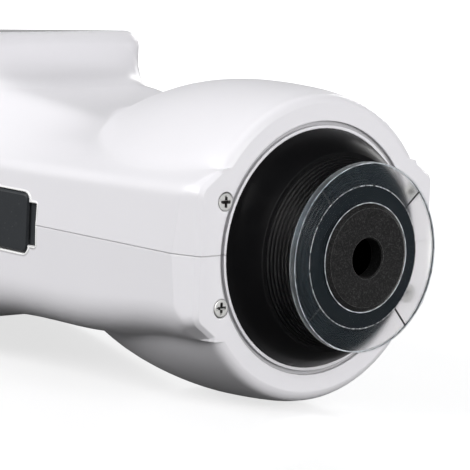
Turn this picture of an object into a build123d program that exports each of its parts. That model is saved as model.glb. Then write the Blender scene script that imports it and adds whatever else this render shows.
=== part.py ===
"""Handheld tristimulus colorimeter, millimetres.

+X runs along the measuring axis, out of the nose. -Y is the side with the port flap. Z = 0 is the
surface that the feet stand on, and X = Y = 0 is the middle of the instrument.
"""

import math
import os

from build123d import *

# Overall form
overall_length = 205.0
body_width = 67.0
wall = 2.2
draft = 0.6
foot_proud = 0.5
belly_radius = 32.8
nose_reach = 14.8

face_x = overall_length / 2 - nose_reach
rear_x = -overall_length / 2
axis_z = belly_radius
half_width = body_width / 2
body_depth = face_x - rear_x

# Head of the housing: distances behind the face and radii about the measuring axis
head_front_radius = 29.4
head_edge_length = 2.4
head_crown_profile = (
    (head_edge_length, 31.3),
    (6.0, 31.9),
    (12.0, 32.25),
    (23.0, 32.2),
    (31.0, 31.4),
    (38.0, 30.0),
    (49.0, 26.3),
    (62.0, 22.5),
)
head_belly_profile = (
    (head_edge_length, 31.6),
    (10.0, 32.5),
    (18.0, belly_radius),
    (30.0, 32.0),
    (42.0, 29.7),
    (51.0, 26.9),
    (62.0, 23.8),
    (78.0, 20.4),
)

# Deck and shoulders of the tub, above the seam
tub_edge_height = 13.4
tub_edge_fall = 0.0275
ledge_height = 17.0
ledge_front_y = 26.5
ledge_neck_y = 23.5
ledge_tail_y = 28.0
deck_front_height = 19.0
deck_tail_height = 25.3
deck_front_y = 12.0
deck_tail_y = 19.5
neck_distance = 42.0
deck_distance = 82.0
deck_edge_radii = (2.5, 6.0, 6.0)

# Underside of the tub, below the seam
keel_front_depth = 17.4
keel_neck_depth = 20.6
heel_depth = belly_radius - foot_proud
heel_start = 55.0
heel_distance = 128.0
keel_radius = 8.0

# Plan and side outlines of the body
cheek_length = 6.0
cheek_inset = 1.8
ear_half_width = 31.7
ear_height = 13.2
ear_root_y = 27.2
ear_root_z = 16.6
ear_radius = 3.0
ear_edge = 0.8
ear_fade = 14.0
ear_growth = 4.6
tail_corner_radius = 14.0
tail_keel_radius = 12.0

# Display housing
housing_front = 88.0
housing_width = 53.0
housing_tail = 4.0
housing_height = 36.6
housing_tilt = 4.4
housing_corner_radius = 6.0
housing_top_radius = 3.5
housing_skirt_radius = 4.0

# Measuring nose: distances ahead of the face
rim_radius = 24.4
lip_width = 0.6
groove_width = 0.9
groove_depth = 0.8
nose_clearance = 0.1
collar_flange_radius = 26.2
collar_flange = 1.3
shoulder_radius = 20.2
shoulder_reach = 6.0
dome_bulge = 0.4
neck_base_radius = 19.3
neck_base_reach = 6.3
neck_tip_radius = 14.4
neck_reach = 12.8
neck_ribs = 11
rib_depth = 0.3
disc_radius = 19.1
disc_thickness = 1.4
plate_radius = 10.85
plate_bevel = 0.85
plate_spigot_radius = 7.0
plate_spigot = 1.2
aperture_radius = 4.0
aperture_chamfer = 0.25

# Integrating sphere, its lamp and its sensor
sphere_radius = 19.5
sphere_wall = 1.3
sphere_setback = 9.5
sphere_room = 0.4
sphere_flange_radius = 25.6
sphere_flange = 1.5
sphere_screw_circle = 23.4
sample_port_radius = 5.4
carrier_radius = 28.4
sensor_angle = 8.0
sensor_port_radius = 3.5
barrel_radius = 5.6
barrel_bore = 4.2
barrel_length = 17.0
lens_thickness = 2.4
lens_curve = 8.0
lens_seat = 4.0
sensor_board_side = 22.0
lamp_angle = 55.0
lamp_port_radius = 3.2
lamp_board_radius = 6.5
boss_height = 1.3

# Screws
face_screw_y = 25.1
face_screw_z = 10.65
face_screw_head = 1.85
screw_radius = 1.0
screw_head = 2.0
screw_head_height = 1.2
recess_width = 0.5

# Shell bosses: distance behind the face and offset from the middle
boss_radius = 3.0
boss_places = ((38.0, 25.0), (168.0, 26.5))
boss_screw_depth = 7.0
boss_screw_length = 15.0

# Panel: distances back from the front edge of the tilted top
window_start = 5.0
window_length = 56.0
window_width = 44.0
window_thickness = 1.4
window_ledge = 2.5
lcd_start = 3.9
lcd_length = 59.6
lcd_width = 44.0
lcd_thickness = 3.2
key_radius = 4.0
key_centre = 80.0
key_spacing = 9.6
key_proud = 0.8
key_flange_width = 0.6
key_flange = 0.9
key_clearance = 0.15
key_travel = 0.5
switch_side = 4.5
board_thickness = 1.6
board_end_gap = 1.9
board_side_gap = 0.9
post_radius = 2.4
post_y = 20.8
post_places = (66.5, 92.5)

# Port flap and its ports, in the -Y wall
flap_start = 52.8
flap_length = 33.0
flap_height = 12.9
flap_corner_radius = 1.8
flap_thickness = 1.8
flap_sink = 0.2
flap_clearance = 0.2
flap_lip = 0.5
strip_length = 2.2
strip_height = 9.0
strip_sink = 0.85
hinge_radius = 0.45
hinge_gap = 0.15
port_panel_thickness = 1.2
port_board_width = 14.0
shelf_thickness = 1.6
shelf_y = 24.0
web_y = 29.2
web_depth = 10.5
usb_distance = 76.0
usb_width = 7.7
usb_height = 4.0
usb_depth = 9.0
jack_distance = 62.5
jack_side = 8.6
jack_depth = 11.0
jack_bore = 2.8
jack_pin = 0.8

# Test button, in the +Y wall
button_distance = 57.0
button_length = 26.0
button_height = 11.0
button_proud = 0.5
button_clearance = 0.2
button_flange_width = 1.2
button_flange = 1.1
button_travel = 0.7
test_switch_side = 6.0
test_switch_height = 3.4
plunger_radius = 1.7
plunger_height = 0.5

# Battery bay in the heel
door_distance = 153.0
door_length = 48.0
door_width = 30.0
door_thickness = 2.0
door_clearance = 0.2
pack_length = 38.0
pack_width = 26.0
pack_height = 17.0
bay_wall = 1.2
door_screw_distance = 174.0

# Feet and strap bar
foot_radius = 4.0
foot_depth = 1.0
foot_places = ((133.5, 20.0), (172.0, 20.0))
strap_drop = 13.0
strap_width = 9.0
strap_height = 8.0
strap_depth = 5.0
strap_bar_radius = 0.9

clearance = 0.2
slit = 0.02
reach = 400.0

nose = Plane(origin=(face_x, 0, axis_z), x_dir=(0, 1, 0), z_dir=(1, 0, 0))
os.makedirs("parts", exist_ok=True)


def behind(distance):
    """X of a point that lies the given distance behind the face."""
    return face_x - distance


def lathe(points):
    """Solid of revolution about the measuring axis, from (radius, distance ahead of the face) points."""
    profile = make_face(Plane.XZ * Polyline(*points, close=True))
    return nose * revolve(profile, Axis.Z)


def nose_cylinder(radius, start, end, y=0.0, z=0.0):
    """Cylinder along the measuring axis between two distances ahead of the face."""
    return nose * Pos(y, z, (start + end) / 2) * Cylinder(radius, end - start)


def block(x, y, z):
    """Box from three (low, high) pairs."""
    size = [high - low for low, high in (x, y, z)]
    centre = [(high + low) / 2 for low, high in (x, y, z)]
    return Pos(*centre) * Box(*size)


def upper_half():
    """Everything above the seam."""
    return block((-reach, reach), (-reach, reach), (axis_z, reach))


def lower_half():
    """Everything below the seam."""
    return block((-reach, reach), (-reach, reach), (-reach, axis_z))


def cross_section(distance, corners, radii):
    """Symmetric closed section across the body from its right-hand corners, seam corner first."""
    plane = Plane(origin=(behind(distance), 0, axis_z), x_dir=(0, 1, 0), z_dir=(1, 0, 0))
    outline = list(corners) + [(-y, z) for y, z in reversed(corners)]
    section = make_face(Polyline(*outline, close=True))
    for (y, z), radius in zip(corners[1:], radii):
        pair = [v for v in section.vertices() if abs(abs(v.X) - y) < 1e-6 and abs(v.Y - z) < 1e-6]
        section = fillet(pair, radius)
    return plane * section


def ease(distance, start, end):
    """Smooth step from 0 to 1 between two distances."""
    share = min(1.0, max(0.0, (distance - start) / (end - start)))
    return share * share * (3 - 2 * share)


def stations(count):
    """Evenly spaced distances from the face to the tail."""
    return [body_depth * i / (count - 1) for i in range(count)]


def deck(inset):
    """Upper part of the tub: side walls, sloping shoulders and the deck between them."""
    sections = []
    for distance in stations(16):
        rise = ease(distance, neck_distance - 6, deck_distance)
        edge_z = tub_edge_height - tub_edge_fall * distance
        ledge_y = ledge_front_y + (ledge_neck_y - ledge_front_y) * ease(distance, 0, neck_distance)
        ledge_y += (ledge_tail_y - ledge_neck_y) * ease(distance, neck_distance + 6, deck_distance)
        flat_y = deck_front_y + (deck_tail_y - deck_front_y) * ease(distance, neck_distance, deck_distance)
        flat_z = deck_front_height + (deck_tail_height - deck_front_height) * rise
        corners = (
            (half_width - inset, 0.0),
            (half_width - draft - inset, edge_z - 0.45 * inset),
            (ledge_y - 0.4 * inset, ledge_height - 0.9 * inset),
            (flat_y - 0.4 * inset, flat_z - inset),
        )
        sections.append(cross_section(distance, corners, deck_edge_radii))
    return loft(sections)


def keel(inset):
    """Lower part of the tub, which deepens into the heel at the tail."""
    sections = []
    for distance in stations(16):
        depth = keel_front_depth + (keel_neck_depth - keel_front_depth) * ease(distance, 0, neck_distance)
        depth += (heel_depth - keel_neck_depth) * ease(distance, heel_start, heel_distance)
        corners = (
            (half_width - inset, 0.0),
            (half_width - draft - inset, inset - depth),
        )
        sections.append(cross_section(distance, corners, (keel_radius - inset,)))
    return loft(sections)


def head(inset, profile):
    """Round head about the measuring axis, with its rounded front edge."""
    points = [(radius - inset, -distance) for distance, radius in profile]
    side = Spline(*points, tangents=((0.25, -1.0), (-0.2, -1.0)))
    front = ThreePointArc(
        (head_front_radius - inset, 0),
        (head_front_radius - inset + 1.3, -0.7),
        points[0],
    )
    lines = Line((0, 0), (head_front_radius - inset, 0)), front, side
    closing = Line(points[-1], (0, points[-1][1])), Line((0, points[-1][1]), (0, 0))
    return nose * revolve(make_face(Plane.XZ * Curve(list(lines) + list(closing))), Axis.Z)


def plan_prism(inset):
    """Plan outline of the body: flat face, eased cheeks and a rounded tail."""
    side = half_width - inset
    front = face_x - inset
    back = rear_x + inset
    radius = tail_corner_radius - inset
    cheek = behind(cheek_length)
    lines = []
    for sign in (1, -1):
        lines.append(Line((front, 0), (front, sign * (side - cheek_inset))))
        lines.append(TangentArc((cheek, sign * side), (front, sign * (side - cheek_inset)), tangent=(1, 0)))
        lines.append(Line((cheek, sign * side), (back + radius, sign * side)))
        lines.append(TangentArc((back + radius, sign * side), (back, sign * (side - radius)), tangent=(-1, 0)))
        lines.append(Line((back, sign * (side - radius)), (back, 0)))
    return extrude(make_face(Curve(lines)), reach, both=True)


def side_prism(inset):
    """Side outline that rounds the heel up into the tail."""
    back = rear_x + inset
    bottom = foot_proud + inset
    step = behind(heel_start)
    points = ((step, -reach), (step, bottom), (back, bottom), (back, reach), (reach, reach), (reach, -reach))
    outline = make_face(Plane.XZ * Polyline(*points, close=True))
    corner = [v for v in outline.vertices() if abs(v.X - back) < 1e-6 and v.Z < axis_z]
    return extrude(fillet(corner, tail_keel_radius - inset), reach, both=True)


panel = Plane(
    origin=(behind(housing_front), 0, axis_z + housing_height),
    x_dir=(math.cos(math.radians(housing_tilt)), 0, math.sin(math.radians(housing_tilt))),
    z_dir=(-math.sin(math.radians(housing_tilt)), 0, math.cos(math.radians(housing_tilt))),
)
housing_length = body_depth - housing_tail - housing_front


def ear_outline(distance, growth):
    """Outline of the eared face, grown outwards, in the plane at a distance behind the face."""
    plane = Plane(origin=(behind(distance), 0, axis_z), x_dir=(0, 1, 0), z_dir=(1, 0, 0))
    corners = (
        (ear_half_width + growth, -ear_height - growth / 2),
        (ear_half_width + growth, ear_height + growth / 2),
        (ear_root_y + growth, ear_root_z + growth / 2),
        (ear_root_y + growth, half_width + growth),
    )
    lower = [(y, -z) for y, z in reversed(corners[2:])]
    right = lower + list(corners)
    outline = make_face(Polyline(*right, *[(-y, z) for y, z in reversed(right)], close=True))
    tips = [v for v in outline.vertices() if abs(abs(v.X) - corners[0][0]) < 1e-6]
    return plane * fillet(tips, ear_radius + growth / 2)


def front_mask(inset):
    """Room for the body: the eared face, opening out behind it to the full section."""
    outlines = [
        ear_outline(ear_fade, ear_growth - inset),
        ear_outline(inset + ear_edge, -inset),
        ear_outline(inset, -inset - ear_edge),
    ]
    return loft(outlines, ruled=True) + block((-reach, behind(ear_fade)), (-reach, reach), (-reach, reach))


def trim(body, inset):
    """Body cut to its plan, side and face outlines."""
    return body & plan_prism(inset) & side_prism(inset) & front_mask(inset)


def display_housing(inset):
    """Raised block that carries the display and the keys, its top sloping down to the tail."""
    length = housing_length - 2 * inset
    width = housing_width - 2 * inset
    centre = behind(housing_front + housing_length / 2)
    body = Pos(centre, 0, axis_z + 30) * Box(length, width, 60)
    body = fillet(body.edges().filter_by(Axis.Z), housing_corner_radius - inset)
    body -= panel * Pos(0, 0, 50 - inset) * Box(reach, reach, 100)
    top_edges = body.faces().sort_by(Axis.Z)[-1].edges()
    body = fillet(top_edges, housing_top_radius - 0.6 * inset)
    return body


def upper_form(inset):
    """Outer form of the upper half, or its cavity when inset by the wall."""
    crown = head(inset, head_crown_profile) & upper_half()
    return trim(deck(inset) + display_housing(inset) + crown, inset)


def lower_form(inset):
    """Outer form of the lower half, or its cavity when inset by the wall."""
    belly = head(inset, head_belly_profile) & lower_half()
    return trim(keel(inset) + belly, inset)



def rounded_plate(length, width, radius):
    """Flat rectangle with rounded corners."""
    return RectangleRounded(length, width, radius)


def side_cut(distance, length, height, radius, start, end):
    """Rounded prism across the body, on the seam, between two values of Y."""
    plane = Plane(origin=(behind(distance), start, axis_z), x_dir=(1, 0, 0), z_dir=(0, 1, 0))
    return plane * extrude(RectangleRounded(length, height, radius), end - start)


def screw(length):
    """Pan-head screw along Z, its head above zero, with a cross recess."""
    head = Cylinder(screw_head, screw_head_height, align=(Align.CENTER, Align.CENTER, Align.MIN))
    head = fillet(head.faces().sort_by(Axis.Z)[-1].edges(), 0.4 * screw_head_height)
    shank = Cylinder(screw_radius, length, align=(Align.CENTER, Align.CENTER, Align.MAX))
    return head + shank - cross_recess(screw_head, screw_head_height)


def cross_recess(head_radius, head_height):
    """Cross-shaped driver recess, sunk into a head that ends at the given height."""
    slot = Pos(0, 0, head_height) * Box(1.3 * head_radius, recess_width, 1.2 * head_height)
    return slot + Rot(0, 0, 90) * slot


# The two moulded shells

seat_z = -wall - clearance / 2
lcd_top = seat_z
lcd_bottom = lcd_top - lcd_thickness
board_top = lcd_bottom - clearance
board_bottom = board_top - board_thickness
board_length = housing_length - 2 * wall - 2 * board_end_gap
board_centre = housing_length / 2
board_width = housing_width - 2 * wall - 2 * board_side_gap

key_places = {
    "key_enter": (0, 0),
    "key_up": (1, 0),
    "key_down": (-1, 0),
    "key_back": (0, 1),
    "key_power": (0, -1),
}
face_screw_places = [(y, z) for y in (-face_screw_y, face_screw_y) for z in (-face_screw_z, face_screw_z)]
post_spots = [(-x, sign * post_y) for x in post_places for sign in (1, -1)]
flap_centre = flap_start + flap_length / 2
hinge_x = behind(flap_start - strip_length)
flap_outer_y = -half_width + flap_sink
flap_inner_y = flap_outer_y + flap_thickness
hinge_y = flap_outer_y + strip_sink + hinge_radius
inner_wall_y = half_width - wall - draft
bay_top = foot_proud + door_thickness + pack_height + 4 * clearance + bay_wall


def key_spot(name):
    """Place of a key on the panel."""
    row, column = key_places[name]
    return (-key_centre + row * key_spacing, column * key_spacing)


def face_cuts():
    """Nose opening, its groove and the face screws' holes."""
    cuts = nose_cylinder(rim_radius, -wall - 1, 1)
    groove = nose_cylinder(rim_radius + lip_width + groove_width, -groove_depth, 1)
    cuts += groove - nose_cylinder(rim_radius + lip_width, -groove_depth - 1, 2)
    for y, z in face_screw_places:
        cuts += nose_cylinder(face_screw_head + 0.1, -screw_head_height, 1, y, z)
        cuts += nose_cylinder(screw_radius + 0.1, -wall - 1, 1, y, z)
    return cuts


def flap_opening():
    """Recess of the port flap, with its narrower neck and its chamfered edge."""
    opening = side_cut(flap_centre, flap_length, flap_height, flap_corner_radius, -half_width - 1, -half_width + wall + 2)
    end = hinge_x + hinge_radius + hinge_gap
    neck = block((behind(flap_start) - 1, end), (-half_width - 1, -half_width + wall + 2), (-strip_height / 2, strip_height / 2))
    opening += Pos(0, 0, axis_z) * neck
    mouth = Plane(origin=(behind(flap_centre), -half_width - 0.1, axis_z), x_dir=(1, 0, 0), z_dir=(0, 1, 0))
    outline = RectangleRounded(flap_length + 2 * flap_lip, flap_height + 2 * flap_lip, flap_corner_radius + flap_lip)
    return opening + mouth * extrude(outline, flap_lip + 0.3, taper=45)


def button_opening():
    """Slot for the test button."""
    radius = button_height / 2
    return side_cut(
        button_distance,
        button_length + 2 * button_clearance,
        button_height + 2 * button_clearance,
        radius + button_clearance - 0.01,
        half_width - wall - 2,
        half_width + 1,
    )


def strap_pocket(growth):
    """Pocket in the tail behind the strap bar."""
    depth = strap_depth + growth
    low = axis_z - strap_drop - strap_height / 2 - growth
    high = axis_z - strap_drop + strap_height / 2 + growth
    return block((rear_x - 1, rear_x + depth), (-strap_width / 2 - growth, strap_width / 2 + growth), (low, high))


def top_shell():
    """Upper moulding: crown of the head, shoulders, deck and display housing."""
    shell = upper_form(0) - upper_form(wall)
    room = upper_form(wall / 2)
    for distance, y in boss_places:
        for sign in (1, -1):
            boss = Pos(behind(distance), sign * y, axis_z + 25) * Cylinder(boss_radius, 50)
            shell += boss & room
            shell -= Pos(behind(distance), sign * y, axis_z) * Cylinder(
                screw_radius + slit, 2 * (boss_screw_length - boss_screw_depth + 1)
            )
    post_length = -board_top - wall / 2 - slit
    for x, y in post_spots:
        shell += panel * Pos(x, y, -wall / 2 - post_length / 2) * Cylinder(post_radius, post_length)
        shell -= panel * Pos(x, y, board_top) * Cylinder(screw_radius + slit, 5)
    window_x = -window_start - window_length / 2
    shell -= panel * Pos(window_x, 0, -window_thickness) * extrude(
        rounded_plate(window_length + 0.2, window_width + 0.2, 2.1), window_thickness + 1
    )
    shell -= panel * Pos(window_x, 0, -wall - 1) * extrude(
        rounded_plate(window_length - 2 * window_ledge, window_width - 2 * window_ledge, 1.0), wall + 2
    )
    for name in key_places:
        x, y = key_spot(name)
        shell -= panel * Pos(x, y, -wall / 2) * Cylinder(key_radius + key_clearance, wall + 2)
    return shell - face_cuts() - flap_opening() - button_opening()


def bottom_shell():
    """Lower moulding: belly of the head, tub and heel with the battery bay."""
    shell = lower_form(0) - lower_form(wall)
    room = lower_form(wall / 2)
    shelf_top = axis_z - usb_height / 2 - board_thickness - 2 * clearance
    port_span = (behind(flap_start + flap_length - 1), behind(flap_start + 1))
    shelves = block(port_span, (-web_y, -shelf_y), (shelf_top - shelf_thickness, shelf_top))
    shelves += block(port_span, (-web_y, shelf_thickness - web_y), (axis_z - web_depth, shelf_top))
    shelves += block(port_span, (-half_width, shelf_thickness - web_y), (axis_z - web_depth, axis_z - web_depth + 2))
    low = axis_z - button_height / 2 - 1.5
    test_front = button_distance - button_length / 2
    test_span = (behind(test_front + button_length), behind(test_front))
    shelves += block(test_span, (22.0, half_width), (low - shelf_thickness, low))
    bay = block(
        (behind(door_distance) - door_length / 2 - bay_wall, behind(door_distance) + door_length / 2 + bay_wall),
        (-door_width / 2 - bay_wall, door_width / 2 + bay_wall),
        (foot_proud, bay_top),
    )
    inner = block(
        (behind(door_distance) - door_length / 2 + 1, behind(door_distance) + door_length / 2 - 1),
        (-door_width / 2 + 1, door_width / 2 - 1),
        (foot_proud - 1, bay_top - bay_wall),
    )
    shell += (shelves + bay - inner) & room
    shell += strap_pocket(bay_wall) & room
    shell -= inner
    shell -= strap_pocket(0)
    door = Pos(behind(door_distance), 0, foot_proud - 1)
    shell -= door * extrude(
        rounded_plate(door_length + 2 * door_clearance, door_width + 2 * door_clearance, 2.0),
        door_thickness + door_clearance + 1,
    )
    post = Pos(behind(door_screw_distance), 0, 0) * Cylinder(
        2.4, bay_top - 0.5, align=(Align.CENTER, Align.CENTER, Align.MIN)
    )
    post -= block((-reach, reach), (-reach, reach), (-reach, foot_proud + door_thickness + door_clearance))
    shell += post
    shell -= Pos(behind(door_screw_distance), 0, 5) * Cylinder(screw_radius + slit, 14)
    for distance, y in boss_places:
        for sign in (1, -1):
            column = Pos(behind(distance), sign * y, axis_z - 25) * Cylinder(boss_radius, 50)
            shell += column & room
            place = Pos(behind(distance), sign * y, axis_z)
            shell -= place * Cylinder(screw_radius + 0.1, 3 * boss_screw_depth)
            shell -= place * Pos(0, 0, -boss_screw_depth) * Cylinder(
                screw_head + 0.1, 60, align=(Align.CENTER, Align.CENTER, Align.MAX)
            )
    for distance, y in foot_places:
        for sign in (1, -1):
            shell -= Pos(behind(distance), sign * y, foot_proud) * Cylinder(foot_radius + slit, 2 * foot_depth)
    pin = Pos(rear_x + 1.6, 0, axis_z - strap_drop) * Cylinder(strap_bar_radius + slit, strap_height + 2)
    shell -= pin
    return shell - face_cuts() - flap_opening() - button_opening()


def shell_screws():
    """Four screws that close the shells from below."""
    screws = []
    for distance, y in boss_places:
        for sign in (1, -1):
            place = Pos(behind(distance), sign * y, axis_z - boss_screw_depth) * Rot(180, 0, 0)
            screws.append(place * Pos(0, 0, slit) * screw(boss_screw_length))
    return Compound(screws)


# The measuring nose


def nose_collar():
    """Domed collar with its ribbed, tapering neck and the room for the sphere inside."""
    room = sphere_radius + sphere_wall + sphere_room
    back = -wall - clearance / 2 - collar_flange
    bore_reach = -sphere_setback + math.sqrt(room**2 - plate_spigot_radius**2)
    inner_back = math.sqrt(room**2 - (back + sphere_setback) ** 2)
    rim = rim_radius - nose_clearance
    slant = Vector(neck_tip_radius - neck_base_radius, neck_reach - neck_base_reach)
    normal = Vector(-slant.Y, slant.X).normalized()
    if normal.X > 0:
        normal = -normal
    ribs = []
    for i in range(neck_ribs):
        start = Vector(neck_base_radius, neck_base_reach) + slant * (i / neck_ribs)
        middle = Vector(neck_base_radius, neck_base_reach) + slant * ((i + 0.5) / neck_ribs)
        ribs += [start, middle + normal * rib_depth]
    outline = Polyline(
        (inner_back, back),
        (collar_flange_radius, back),
        (collar_flange_radius, back + collar_flange),
        (rim, back + collar_flange),
        (rim, 0),
    )
    middle = ((rim + shoulder_radius) / 2 + dome_bulge, shoulder_reach / 2 + dome_bulge)
    dome = ThreePointArc((rim, 0), middle, (shoulder_radius, shoulder_reach))
    neck = Polyline(
        (shoulder_radius, shoulder_reach),
        (neck_base_radius, shoulder_reach),
        *[(p.X, p.Y) for p in ribs],
        (neck_tip_radius, neck_reach),
        (plate_spigot_radius, neck_reach),
        (plate_spigot_radius, bore_reach),
    )
    angle = math.radians(45)
    bowl = ThreePointArc(
        (plate_spigot_radius, bore_reach),
        (room * math.cos(angle), room * math.sin(angle) - sphere_setback),
        (inner_back, back),
    )
    profile = make_face(Plane.XZ * Curve([outline, dome, neck, bowl]))
    return nose * revolve(profile, Axis.Z)


def locator_disc():
    """Clear disc that steadies the nose on the sample."""
    low = neck_reach + slit
    return nose_cylinder(disc_radius, low, neck_reach + disc_thickness) - nose_cylinder(plate_radius + 0.05, low - 1, nose_reach + 1)


def aperture_plate():
    """Contact plate with the measuring aperture, on a spigot in the neck."""
    low = neck_reach + slit
    return lathe(
        (
            (aperture_radius, low - plate_spigot),
            (aperture_radius, nose_reach - aperture_chamfer),
            (aperture_radius + aperture_chamfer, nose_reach),
            (plate_radius - plate_bevel, nose_reach),
            (plate_radius, nose_reach - plate_bevel),
            (plate_radius, low),
            (plate_spigot_radius - slit, low),
            (plate_spigot_radius - slit, low - plate_spigot),
        )
    )


carrier_front = -wall - clearance - collar_flange
carrier_back = -sphere_setback + sphere_flange + slit


def face_screws():
    """Four screws through the face that clamp both shells and the collar to the carrier."""
    screws = []
    for y, z in face_screw_places:
        head = Cylinder(face_screw_head, screw_head_height, align=(Align.CENTER, Align.CENTER, Align.MAX))
        head = fillet(head.faces().sort_by(Axis.Z)[-1].edges(), 0.3)
        length = -carrier_back - screw_head_height
        shank = Pos(0, 0, -screw_head_height) * Cylinder(screw_radius, length, align=(Align.CENTER, Align.CENTER, Align.MAX))
        recess = Pos(0, 0, -screw_head_height) * cross_recess(face_screw_head, screw_head_height)
        screws.append(nose * Pos(y, z, 0) * (head + shank - recess))
    return Compound(screws)


def nose_carrier():
    """Aluminium ring behind the face that takes the face screws and carries the sphere."""
    ring = nose_cylinder(carrier_radius, carrier_back, carrier_front)
    ring -= nose_cylinder(sphere_radius + sphere_wall + sphere_room, carrier_back - 1, carrier_front + 1)
    for y, z in face_screw_places:
        ring -= nose_cylinder(screw_radius + slit, carrier_back - 1, carrier_front + 1, y, z)
    for y, z in sphere_screw_places():
        ring -= nose_cylinder(screw_radius + slit, carrier_back - 1, carrier_front + 1, y, z)
    return ring


def sphere_screw_places():
    """Four places on the sphere's flange."""
    return [
        (sphere_screw_circle * math.cos(math.radians(a)), sphere_screw_circle * math.sin(math.radians(a)))
        for a in (60, 120, 240, 300)
    ]


sphere_middle = nose * Pos(0, 0, -sphere_setback)
sphere_x = behind(sphere_setback)


def port_plane(angle):
    """Plane at the sphere's centre that faces back and up by an angle."""
    radians = math.radians(angle)
    return Plane(origin=(sphere_x, 0, axis_z), x_dir=(0, 1, 0), z_dir=(-math.cos(radians), 0, math.sin(radians)))


sensor_plane = port_plane(sensor_angle)
lamp_plane = port_plane(lamp_angle)
boss_end = sphere_radius + sphere_wall + boss_height


def half_sphere(side):
    """Half of the hollow sphere with its flange; side is +1 for the front half."""
    ball = sphere_middle * Sphere(sphere_radius + sphere_wall)
    low, high = sorted((0, side * sphere_flange))
    ball += nose_cylinder(sphere_flange_radius, low - sphere_setback, high - sphere_setback)
    if side < 0:
        ball += sensor_plane * Pos(0, 0, boss_end / 2) * Cylinder(barrel_radius + 1, boss_end)
        ball += lamp_plane * Pos(0, 0, boss_end / 2) * Cylinder(lamp_port_radius + 2, boss_end)
    ball -= sphere_middle * Sphere(sphere_radius)
    ball &= nose_cylinder(2 * sphere_radius, *sorted((-sphere_setback + side * slit / 2, side * 60 - sphere_setback)))
    for y, z in sphere_screw_places():
        ball -= nose_cylinder(screw_radius + 0.1, -sphere_setback - 5, -sphere_setback + 5, y, z)
    return ball


def sphere_front():
    """Front half of the sphere, open at the sample port."""
    return half_sphere(1) - nose_cylinder(sample_port_radius, 0, nose_reach)


def sphere_rear():
    """Rear half of the sphere, with the sensor and lamp ports."""
    ball = half_sphere(-1)
    ball -= sensor_plane * Pos(0, 0, 25) * Cylinder(sensor_port_radius, 30)
    return ball - lamp_plane * Pos(0, 0, 25) * Cylinder(lamp_port_radius, 30)


def sphere_screws():
    """Four screws that hold the sphere's halves to the carrier."""
    start = -sphere_setback - sphere_flange - slit
    length = carrier_front - start - 0.5
    screws = [nose * Pos(y, z, start) * Rot(180, 0, 0) * screw(length) for y, z in sphere_screw_places()]
    return Compound(screws)


def sensor_barrel():
    """Tube that holds the lens between the sphere and the sensor board."""
    start = boss_end + slit
    tube = Cylinder(barrel_radius, barrel_length) - Cylinder(barrel_bore, barrel_length + 2)
    tube = Pos(0, 0, start + barrel_length / 2) * tube
    seat_low = start + lens_seat - 1
    seat = Cylinder(barrel_bore + 0.5, 1) - Cylinder(barrel_bore - 0.8, 2)
    return sensor_plane * (tube + Pos(0, 0, seat_low + 0.5) * seat)


def sensor_lens():
    """Plano-convex lens against the barrel's seat."""
    base = boss_end + slit + lens_seat + slit
    blank = Pos(0, 0, base + lens_thickness / 2) * Cylinder(barrel_bore - slit, lens_thickness)
    curve = Pos(0, 0, base + lens_thickness - lens_curve) * Sphere(lens_curve)
    return sensor_plane * (blank & curve)


def sensor_board():
    """Circuit board behind the barrel."""
    start = boss_end + barrel_length + 2 * slit
    return sensor_plane * Pos(0, 0, start + board_thickness / 2) * Box(sensor_board_side, sensor_board_side, board_thickness)


def light_sensor():
    """Sensor package on the board, inside the barrel."""
    start = boss_end + barrel_length + slit
    return sensor_plane * Pos(0, 0, start - 0.6) * Box(4.4, 4.4, 1.2)


def lamp_board():
    """Small round board that holds the lamp over its port."""
    return lamp_plane * Pos(0, 0, boss_end + slit + board_thickness / 2) * Cylinder(lamp_board_radius, board_thickness)


def lamp():
    """White lamp package in the port."""
    body = Pos(0, 0, boss_end - 0.5) * Box(3.4, 3.4, 1.0)
    dome = Pos(0, 0, boss_end - 1.0) * Sphere(1.4)
    return lamp_plane * (body + (dome & Pos(0, 0, boss_end - 2.5) * Box(5, 5, 3)))


# The panel


def display_window():
    """Clear window, flush in the top of the housing."""
    x = -window_start - window_length / 2
    return panel * Pos(x, 0, slit - window_thickness) * extrude(rounded_plate(window_length, window_width, 2.0), window_thickness - slit)


def lcd_module():
    """Display module under the window."""
    body = Box(lcd_length, lcd_width, lcd_thickness)
    x = -lcd_start - lcd_length / 2
    return panel * Pos(x, 0, (lcd_top + lcd_bottom) / 2) * body


def display_ribbon():
    """Flat cable from the display module down to the main board."""
    x = -lcd_start - lcd_length - 0.4
    return panel * Pos(x, 0, (board_top + lcd_top) / 2) * Box(0.5, 14, lcd_top - board_top - 4 * slit)


def main_board():
    """Main circuit board under the display and the keys."""
    board = Box(board_length, board_width, board_thickness)
    board = Pos(-board_centre, 0, (board_top + board_bottom) / 2) * board
    for x, y in post_spots:
        board -= Pos(x, y, board_top) * Cylinder(screw_radius + 0.1, 10)
    return panel * board


def board_screws():
    """Four screws up through the main board into the shell's posts."""
    screws = [panel * Pos(x, y, board_bottom - slit) * Rot(180, 0, 0) * screw(3.6) for x, y in post_spots]
    return Compound(screws)


def processor():
    """Main chip on the underside of the board."""
    return panel * Pos(-30, 0, board_bottom - slit - 0.6) * Box(14, 14, 1.2)


def buzzer():
    """Buzzer on the underside of the board."""
    body = Cylinder(4.5, 3.0) - Pos(0, 0, -1.2) * Cylinder(0.8, 1.0)
    return panel * Pos(-82, 10, board_bottom - slit - 1.5) * body


def key_switches():
    """One switch on the board under each key."""
    top = -wall - clearance / 2 - key_flange - key_travel - 2 * slit
    height = top - board_top - slit
    switches = []
    for name in key_places:
        x, y = key_spot(name)
        body = Pos(0, 0, board_top + slit + height / 2 - 0.2) * Box(switch_side, switch_side, height - 0.4)
        stem = Pos(0, 0, top - 0.2 - slit) * Cylinder(1.1, 0.4 + 2 * slit)
        switches.append(panel * Pos(x, y, 0) * (body + stem))
    return Compound(switches)


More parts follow.
